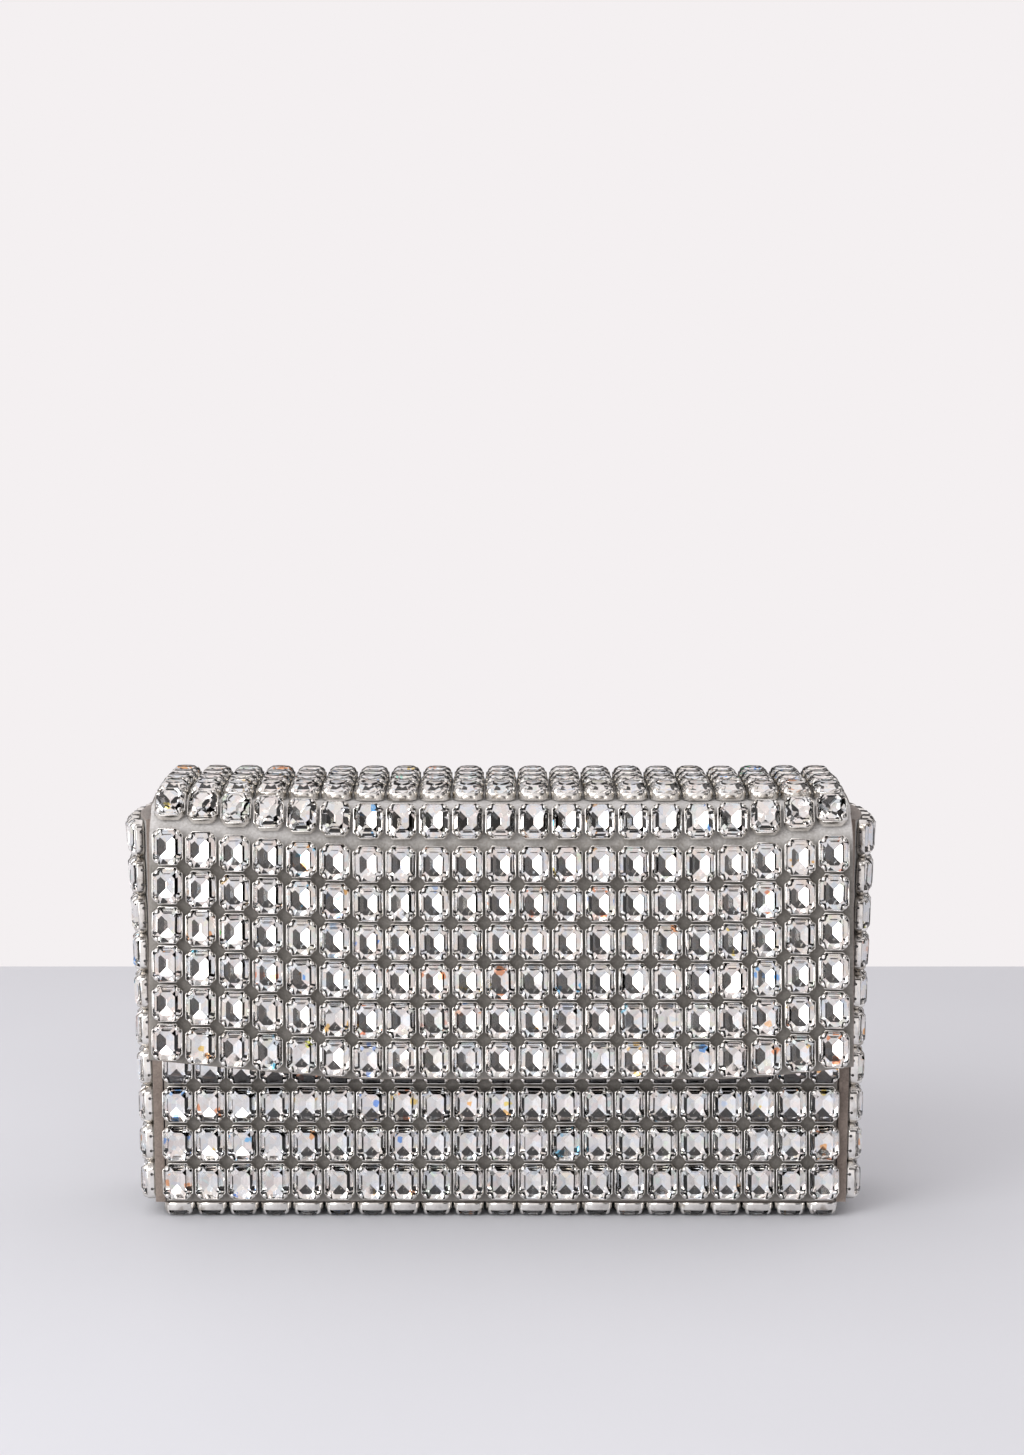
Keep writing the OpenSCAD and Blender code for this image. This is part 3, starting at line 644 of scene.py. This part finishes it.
def summed(s, angle):
    """Where a run forward gets to in y and z, if its slope below level is angle(run)."""
    steps = (np.arange(PATH_STEPS) + 0.5) / PATH_STEPS
    slopes = np.stack([angle(s * m) for m in steps])
    return -s * np.cos(slopes).mean(0), -s * np.sin(slopes).mean(0)


def offset(x, y, z, slope, d):
    """Points that stand d off a surface which slopes down forward."""
    return np.stack([x, y - d * np.sin(slope), z + d * np.cos(slope)], -1)


def top_place(x, s, d):
    """Flap's top, s from the back fold's axis."""
    y, z = summed(s, top_angle)
    return offset(x, BACK_AXIS[1] + y, BACK_AXIS[2] + z, top_angle(s), d)


def front_place(x, s, d):
    """Hanging front, s from the front fold's axis."""
    bent = np.minimum(s, SLACK_L - end_lift(x))
    y, z = summed(bent, lambda run: front_angle(x, run))
    hang = math.radians(HANG)
    y, z = y - (s - bent) * math.cos(hang), z - (s - bent) * math.sin(hang)
    return offset(x, FRONT_AXIS[1] + y, FRONT_AXIS[2] + z, front_angle(x, s), d)


# Sheets with rounded edges
EDGE_ANGLES, EDGE_CELLS = (0, 30, 60, 90), 2
OUTSIDE, INSIDE, EDGE = 0, 1, 2


def slab(name, place, a, b, d, cells, mats, round_r=None):
    """Closed sheet place(a, b, d) over the spans a and b and between the offsets d, its edges
    rounded. cells: along a and b. mats: outside, inside, edge."""
    mid, half = (d[0] + d[1]) / 2, (d[1] - d[0]) / 2
    r = round_r or abs(half)
    quarter = np.radians(EDGE_ANGLES)
    inset, rise = r * (1 - np.cos(quarter)), np.sin(quarter)

    def lines(lo, hi, n):
        """Places of the grid's lines from lo to hi, and the share of the thickness at each."""
        inner = np.linspace(lo + r, hi - r, n + 1)[1:-1]
        at = np.concatenate([lo + inset, inner, hi - inset[::-1]])
        return at, np.concatenate([rise, np.ones(len(inner)), rise[::-1]])

    at_a, up_a = lines(*a, cells[0])
    at_b, up_b = lines(*b, cells[1])
    grid_a, grid_b = np.meshgrid(at_a, at_b, indexing="ij")
    up = np.minimum(*np.meshgrid(up_a, up_b, indexing="ij")) * half
    na, nb = grid_a.shape
    top = place(grid_a.ravel(), grid_b.ravel(), (mid + up).ravel())
    low = place(grid_a.ravel(), grid_b.ravel(), (mid - up).ravel())
    index = np.arange(na * nb).reshape(na, nb)
    inside = np.zeros((na, nb), bool)
    inside[1:-1, 1:-1] = True
    under = index.copy()
    under[inside] = na * nb + np.arange(inside.sum())
    faces, tags = [], []
    for grid, tag in ((index, OUTSIDE), (under, INSIDE)):
        for i in range(na - 1):
            for j in range(nb - 1):
                quad = [int(grid[i, j]), int(grid[i + 1, j]), int(grid[i + 1, j + 1]), int(grid[i, j + 1])]
                faces.append(quad[::-1] if tag == INSIDE else quad)
                on_edge = min(i, j, na - 2 - i, nb - 2 - j) < EDGE_CELLS
                tags.append(EDGE if on_edge else tag)
    obj = mesh_object(name, np.concatenate([top, low[inside.ravel()]]), faces, list(mats), tags)
    bm = bmesh.new()
    bm.from_mesh(obj.data)
    bmesh.ops.recalc_face_normals(bm, faces=bm.faces)
    bm.to_mesh(obj.data)
    bm.free()
    return obj


# Materials of a sheet's outside, inside and edge
COVER, FLAP_COVER = (SUEDE, FELT, RAW_EDGE), (FLAP_SUEDE, FELT, RAW_EDGE)
LINED, COATED = (LINING,) * 3, (RAW_EDGE,) * 3


# Flap
def drawn_in(x, s):
    """Run on the hanging flap, whose lower edge is pulled up with its ends."""
    return FOLD_CLEAR + (s - FOLD_CLEAR) * (1 - end_lift(x) / (FRONT_RUN - FOLD_CLEAR))


def flap_front_at(x, s, d):
    return front_place(x, drawn_in(x, s), d)


FLAP_X = (-FLAP_HALF, FLAP_HALF)
COVER_D = (FOLD_R - SUEDE_T, FOLD_R)
FELTED_D, TOP_LINING_D = (-FOLD_R, COVER_D[0] - WASHER_ROOM), (-FOLD_R, LINING_T - FOLD_R)
HANG_S, TOP_S = (FOLD_CLEAR, FRONT_RUN), (FOLD_CLEAR, TOP_RUN - FOLD_CLEAR)
ride(slab("flap_front_suede", flap_front_at, FLAP_X, HANG_S, COVER_D, (120, 40), FLAP_COVER),
     "flap_front", "suede", "flap_front_cover")
ride(slab("flap_front_felted_lining", flap_front_at, FLAP_X, HANG_S, FELTED_D, (80, 30),
          (FELT, LINING, RAW_EDGE)),
     "flap_front", "lining", "flap_front_lining")
ride(slab("flap_top_suede", top_place, FLAP_X, TOP_S, COVER_D, (60, 30), FLAP_COVER),
     "flap_top", "suede", "flap_top_cover")
ride(slab("flap_top_inner_lining", top_place, FLAP_X, TOP_S, TOP_LINING_D, (60, 30), LINED),
     "flap_top", "lining", "flap_top_lining")


def back_fold_at(x, t, d):
    """Suede from the back panel's top edge, over the back axis, to the flap's top."""
    arc = FOLD_R * math.pi / 2
    turn = np.clip((t - FOLD_CLEAR) / arc, 0, 1) * math.pi / 2
    rise = np.minimum(t, FOLD_CLEAR) - FOLD_CLEAR
    past = np.maximum(t - FOLD_CLEAR - arc, 0)
    y = BACK_AXIS[1] + d * np.cos(turn) - past
    z = BACK_AXIS[2] + d * np.sin(turn) + rise
    return np.stack([x, y, z], -1)


def front_fold_at(x, t, d):
    """Suede from the flap's top, over the front axis, to its hanging front."""
    end = front_angle(x, np.zeros_like(x))
    arc = FOLD_R * (end - TOP_RISE)
    slope = TOP_RISE + np.clip((t - FOLD_CLEAR) / arc, 0, 1) * (end - TOP_RISE)
    bend = offset(x, np.full_like(x, FRONT_AXIS[1]), np.full_like(x, FRONT_AXIS[2]), slope, d)
    before = top_place(x, TOP_RUN - FOLD_CLEAR + t, d)
    after = front_place(x, np.maximum(t - FOLD_CLEAR - arc, 0), d)
    out = np.where((t < FOLD_CLEAR)[:, None], before, bend)
    return np.where((t > FOLD_CLEAR + arc)[:, None], after, out)


def fold(name, place, length, node):
    """Suede over a fold, from just before its start to length along it, baked in place of the node."""
    piece = slab(name, place, FLAP_X, (-FOLD_LAP, length), COVER_D, (60, 20), FLAP_COVER, FOLD_ROUND)
    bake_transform(piece)
    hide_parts(node)


BACK_FOLD_L = 2 * FOLD_CLEAR + FOLD_R * math.pi / 2 + FOLD_LAP
FRONT_FOLD_L = 2 * FOLD_CLEAR + FOLD_R * math.radians(HANG - FOLD_SLACK - TOP_SLOPE)
fold("back_fold_suede", back_fold_at, BACK_FOLD_L,
     "back_fold")
fold("front_fold_suede", front_fold_at, FRONT_FOLD_L,
     "front_fold")


# Body panels
def edge_half(z):
    """Half of the body's width at its front and back edges, over the side panels' outsides."""
    return BASE_HALF + SIDE_LEAN * (z - FOOT_Z) / BODY_H


def panel_half(z):
    """Half of the width of the panels that stand between the side panels."""
    return edge_half(z) - BASE_HALF + FLOOR_HALF


def side_at(sign):
    """Side panel, which leans and swells outward; d is measured inward from its outside."""
    def place(y, z, d):
        swell = SIDE_SWELL * np.maximum(0, (z - FOOT_Z) / BODY_H) ** SWELL_POWER
        share = 1 - ((y - MID_Y) / HALF_D) ** 2
        yaw = np.arctan(2 * swell * (y - MID_Y) / HALF_D ** 2)
        x = edge_half(z) + swell * share - d * np.cos(yaw)
        return np.stack([sign * x, y, z], -1)
    return place


SIDES = (("left", -1), ("right", 1))
SIDE_SPANS, SIDE_LINING_D = ((FRONT_Y, BACK_Y), (FOOT_Z, SIDE_TOP_Z)), (SIDE_T, SIDE_T - LINING_T)
for side, sign in SIDES:
    ride(slab(f"gusset_{side}_suede", side_at(sign), *SIDE_SPANS, (SUEDE_T, 0), (30, 60), COVER),
         "body", "suede", f"gusset_{side}_cover")
    ride(slab(f"gusset_{side}_inner_lining", side_at(sign), *SIDE_SPANS, SIDE_LINING_D, (30, 60), LINED),
         "body", "lining", f"gusset_{side}_lining")


def upright(y_mid):
    """Upright sheet whose ends follow the side panels; d is measured forward from its middle."""
    def place(x, z, d):
        return np.stack([x * panel_half(z) / FLOOR_HALF, y_mid - d, z], -1)
    return place


WRAP_R = (SUEDE_T + BOARD_T) / 2
WRAP_RISE = MOUTH_Z - SUEDE_T / 2 - WRAP_R - FOOT_Z
WRAP_L = WRAP_RISE + WRAP_R * math.pi + TURN_IN - SUEDE_T / 2 - WRAP_R


def front_wrap(x, t, d):
    """Front suede: up the outside, over the mouth and down inside."""
    turn = np.clip((t - WRAP_RISE) / WRAP_R, 0, math.pi)
    down = np.maximum(t - WRAP_RISE - WRAP_R * math.pi, 0)
    z = FOOT_Z + np.minimum(t, WRAP_RISE) + (WRAP_R + d) * np.sin(turn) - down
    y = FRONT_Y + SUEDE_T / 2 + WRAP_R - (WRAP_R + d) * np.cos(turn)
    return np.stack([x * panel_half(z) / FLOOR_HALF, y, z], -1)


def level(x, y, z):
    return np.stack([x, y, z], -1)


PANEL_X = (-FLOOR_HALF, FLOOR_HALF)
INNER = SUEDE_T + BOARD_T
SUEDE_D, LINING_D = (-SUEDE_T / 2, SUEDE_T / 2), (-LINING_T / 2, LINING_T / 2)
FLOOR_Z = FOOT_Z + PANEL_T
ride(slab("front_panel_suede", front_wrap, PANEL_X, (0, WRAP_L), SUEDE_D, (60, 170), COVER),
     "body", "suede", "front_cover")
ride(slab("back_panel_suede", upright(BACK_Y - SUEDE_T / 2), PANEL_X, (FOOT_Z, BACK_TOP_Z),
          SUEDE_D[::-1], (60, 60), COVER),
     "body", "suede", "back_cover")
ride(slab("front_inner_lining", upright(FRONT_Y + INNER + LINING_T / 2), PANEL_X,
          (FLOOR_Z, MOUTH_Z - TURN_IN + TURN_IN_LAP), LINING_D, (60, 60), LINED),
     "body", "lining", "front_lining")
ride(slab("back_inner_lining", upright(BACK_Y - INNER - LINING_T / 2), PANEL_X,
          (FLOOR_Z, BACK_TOP_Z), LINING_D, (60, 60), LINED),
     "body", "lining", "back_lining")
ride(slab("bottom_suede", level, PANEL_X, (FRONT_Y + SUEDE_T, BACK_Y - SUEDE_T),
          (FOOT_Z + SUEDE_T, FOOT_Z), (60, 20), COVER),
     "body", "suede", "bottom_cover")
ride(slab("bottom_inner_lining", level, PANEL_X, (FRONT_Y + INNER, BACK_Y - INNER),
          (FLOOR_Z - LINING_T, FLOOR_Z), (60, 20), LINED),
     "body", "lining", "bottom_lining")


# Coats of paint over the layers' edges
COAT_T, COAT_CROWN, COAT_BITE, COAT_ROUND = 0.22, 0.12, 0.1, 0.1


def edge_coat(name, place, length, width, body):
    """Rounded coat along a stack of layers seen edge on; place(run, across, out)."""
    def crowned(run, across, out):
        crown = COAT_CROWN * np.maximum(1 - (2 * across / width - 1) ** 2, 0)
        return place(run, across, out - COAT_BITE + crown)
    ride(slab(name, crowned, (0, length), (0, width), (0, COAT_T), (60, 8), COATED, COAT_ROUND),
         body, "suede")


def gusset_edge(sign, y, facing):
    """A side panel's front or back edge, from its foot up."""
    def place(run, across, out):
        z = FOOT_Z + run
        return np.stack([sign * (edge_half(z) - across), np.full_like(z, y) + facing * out, z], -1)
    return place


def gusset_mouth(sign):
    """A side panel's top edge, from the front back."""
    def place(run, across, out):
        return side_at(sign)(FRONT_Y + run, np.full_like(run, SIDE_TOP_Z), across) + np.outer(out, (0, 0, 1))
    return place


def flap_top_end(sign):
    """The flap's top seen from the side, from the back fold forward."""
    def place(run, across, out):
        return top_place(sign * (FLAP_HALF + out), FOLD_CLEAR + run, across - FOLD_R)
    return place


for side, sign in SIDES:
    for end, y, facing in (("front", FRONT_Y, -1), ("back", BACK_Y, 1)):
        edge_coat(f"gusset_{side}_{end}_edge_coat", gusset_edge(sign, y, facing), BODY_H, SIDE_T, "body")
    edge_coat(f"gusset_{side}_mouth_edge_coat", gusset_mouth(sign), 2 * HALF_D, SIDE_T, "body")
    edge_coat(f"flap_top_{side}_edge_coat", flap_top_end(sign), TOP_RUN - 2 * FOLD_CLEAR, FLAP_T, "flap_top")


# Slip pocket
POCKET_W, POCKET_H, POCKET_T, HEM = 110.0, 62.0, 0.8, 6.0
POCKET_LO, POCKET_HI = FLOOR_Z + HEM, FLOOR_Z + HEM + POCKET_H
POCKET_Y = BACK_Y - INNER - LINING_T
POCKET_X, POCKET_D = (-POCKET_W / 2, POCKET_W / 2), (-POCKET_T / 2, POCKET_T / 2)


def flat_upright(y_mid):
    return lambda x, z, d: np.stack([x, y_mid - d, z], -1)


ride(slab("pocket_cloth", flat_upright(POCKET_Y - POCKET_T / 2), POCKET_X, (POCKET_LO, POCKET_HI),
          POCKET_D, (40, 30), LINED),
     "body", "lining", "slip_pocket")
ride(slab("pocket_hem", flat_upright(POCKET_Y - 1.5 * POCKET_T), POCKET_X, (POCKET_HI - HEM, POCKET_HI),
          POCKET_D, (40, 6), LINED),
     "body", "lining")


# Rows of stitches. Each is thinner towards its ends: places along it, its size at each, and how
# flat its section is
STITCH_L, STITCH_GAP, STITCH_R, SEAM = 2.4, 0.9, 0.22, 2.2
STITCH_MARKS, STITCH_SIZES = (0.0, 0.12, 0.5, 0.88, 1.0), (0.35, 0.8, 1.0, 0.8, 0.35)
STITCH_SIDES, STITCH_FLAT = 6, 0.8


def stitches(name, path, out, body):
    """Short threads lying along a path of points, standing off along out."""
    path, out = np.asarray(path, float), np.asarray(out, float)
    runs = np.concatenate([[0], np.cumsum(np.linalg.norm(np.diff(path, axis=0), axis=1))])
    points, faces = [], []
    for k in range(int(runs[-1] // (STITCH_L + STITCH_GAP))):
        marks = k * (STITCH_L + STITCH_GAP) + STITCH_L * np.array(STITCH_MARKS)
        mid = np.stack([np.interp(marks, runs, path[:, c]) for c in range(3)], -1)
        along = mid[-1] - mid[0]
        side = np.cross(along / np.linalg.norm(along), out)
        first = len(points)
        for p, size in zip(mid, STITCH_SIZES):
            for a in np.radians(np.arange(0, 360, 360 // STITCH_SIDES)):
                lift = STITCH_FLAT * math.sin(a) + size - STITCH_FLAT
                points.append(p + STITCH_R * size * (side * math.cos(a) + out * lift))
        faces += tube_faces(first, STITCH_SIDES, len(STITCH_MARKS))
    points, faces, _ = turned_outward(points, faces)
    ride(mesh_object(name, points, faces, [THREAD]), body, "lining")


face_y, half_x, hem_z = POCKET_Y - POCKET_T, POCKET_W / 2 - SEAM, POCKET_HI - HEM
stitches("pocket_stitches", [
    (-half_x, face_y, hem_z), (-half_x, face_y, POCKET_LO + SEAM),
    (half_x, face_y, POCKET_LO + SEAM), (half_x, face_y, hem_z),
], (0, -1, 0), "body")
stitches("pocket_hem_stitches", [
    (-half_x, face_y - POCKET_T, hem_z + SEAM), (half_x, face_y - POCKET_T, hem_z + SEAM),
], (0, -1, 0), "body")
turned_y, turned_z = FRONT_Y + INNER + SUEDE_T, MOUTH_Z - TURN_IN + SEAM
stitches("mouth_stitches", [
    (-FLOOR_HALF + SEAM, turned_y, turned_z), (FLOOR_HALF - SEAM, turned_y, turned_z),
], (0, 1, 0), "body")


def inside_flap(x, s):
    """Points on the lining of the flap's hanging front."""
    x, s = np.broadcast_arrays(np.asarray(x, float), np.asarray(s, float))
    return flap_front_at(x, s, -FOLD_R)


ends = FLAP_HALF - SEAM
across, down = np.linspace(-ends, ends, 80), np.linspace(2 * SEAM, FRONT_RUN - 2.5 * SEAM, 40)
stitches("flap_edge_stitches", inside_flap(across, FRONT_RUN - SEAM), (0, 1, 0), "flap_front")
for side, sign in SIDES:
    stitches(f"flap_{side}_stitches", inside_flap(sign * ends, down), (0, 1, 0), "flap_front")

# CAD nodes that stay: the boards and the snap, with slightly worn edges
SNAP_WEAR, BOARD_WEAR = 0.25, 0.15
for name, obj in NODES.items():
    metal = "snap" in name
    obj.data.materials.clear()
    obj.data.materials.append(SNAP_METAL if metal else BOARD)
    if metal or "board" in name:
        bevel = obj.modifiers.new("worn_edges", "BEVEL")
        bevel.width = (SNAP_WEAR if metal else BOARD_WEAR) * MM
        bevel.segments = 2
        bevel.limit_method = "ANGLE"


# Stage, camera and light, in metres
def stage_mesh(name, points, faces, mat):
    mesh = bpy.data.meshes.new(name)
    mesh.from_pydata(points, [], faces)
    mesh.materials.append(mat)
    obj = bpy.data.objects.new(name, mesh)
    scene.collection.objects.link(obj)
    return obj


def make_stage(name, low, high, scale, rough):
    mat, tree, s = material(name, Roughness=rough)
    tone = noise(tree, scale, detail=2)
    tree.links.new(ramp(tree, tone.outputs["Fac"], [(0.3, low), (0.7, high)]), s.inputs["Base Color"])
    return mat


TABLE_NEAR, TABLE_FAR, TABLE_HALF = -0.235, 0.396, 1.6
table = make_stage("table_lavender", (0.645, 0.655, 0.69), (0.675, 0.685, 0.72), scale=4, rough=0.65)
stage_mesh("table", [
    (-TABLE_HALF, TABLE_NEAR, 0), (TABLE_HALF, TABLE_NEAR, 0),
    (TABLE_HALF, TABLE_FAR, 0), (-TABLE_HALF, TABLE_FAR, 0),
], [[0, 1, 2, 3]], table)

# Dark cards round the set, which only the stones and the metal see: azimuth from and to, in
# degrees to the right of the camera's side, and height from and to
dark = make_stage("dark_card", (0.022, 0.021, 0.022), (0.038, 0.036, 0.034), scale=3, rough=0.9)
CARD_R, CARD_LINES = 1.5, 13
CARDS = [
    (34, 72, -0.7, 2.0), (-6, 34, 0.95, 2.0), (88, 128, -0.2, 1.6), (150, 192, -0.2, 1.3),
    (-150, -118, -0.2, 1.5),
]
for k, (start, end, low, high) in enumerate(CARDS):
    angles = np.radians(np.linspace(start, end, CARD_LINES))
    ring = [(CARD_R * math.sin(a), -CARD_R * math.cos(a)) for a in angles]
    points = [(x, y, low) for x, y in ring] + [(x, y, high) for x, y in ring]
    faces = [[j, j + 1, j + 1 + CARD_LINES, j + CARD_LINES] for j in range(CARD_LINES - 1)]
    card = stage_mesh(f"dark_card_{k}", points, faces, dark)
    card.visible_camera = False
    card.visible_diffuse = False
    card.visible_shadow = False

world = bpy.data.worlds.new("studio")
scene.world = world
world.use_nodes = True
sky = world.node_tree.nodes["Background"]
sky.inputs["Color"].default_value = (0.905, 0.871, 0.880, 1)
sky.inputs["Strength"].default_value = 1.0


LAMP_AIM = (0, 0, 0.06)


def lamp(name, place, size, watts):
    """Rectangular window light turned towards the bag."""
    data = bpy.data.lights.new(name, "AREA")
    data.shape = "RECTANGLE"
    data.size, data.size_y = size
    data.energy = watts
    obj = bpy.data.objects.new(name, data)
    scene.collection.objects.link(obj)
    obj.location = place
    obj.rotation_euler = (Vector(LAMP_AIM) - Vector(place)).to_track_quat("-Z", "Y").to_euler()


lamp("left_window", (-0.75, -0.75, 0.35), (0.7, 0.9), 6.5)
lamp("left_skylight", (-0.55, -1.05, 1.15), (0.8, 0.6), 4.2)

# Camera: the image's width, focal length and shift in its pixels, and its pitch in radians
IMAGE_W, FOCAL, SHIFT_X, SHIFT_Y, PITCH = 1024, 3134.0, 11.2, -177.1, 0.040
CAMERA_Y, CAMERA_Z = -0.8993, 0.2250
view = bpy.data.cameras.new("camera")
camera = bpy.data.objects.new("camera", view)
scene.collection.objects.link(camera)
scene.camera = camera
view.sensor_fit = "HORIZONTAL"
view.sensor_width = 36
view.lens = FOCAL / IMAGE_W * view.sensor_width
view.shift_x = SHIFT_X / IMAGE_W
view.shift_y = SHIFT_Y / IMAGE_W
camera.location = (0, CAMERA_Y, CAMERA_Z)
camera.rotation_euler = (math.radians(90) - PITCH, 0, 0)

scene.view_settings.view_transform = "Standard"
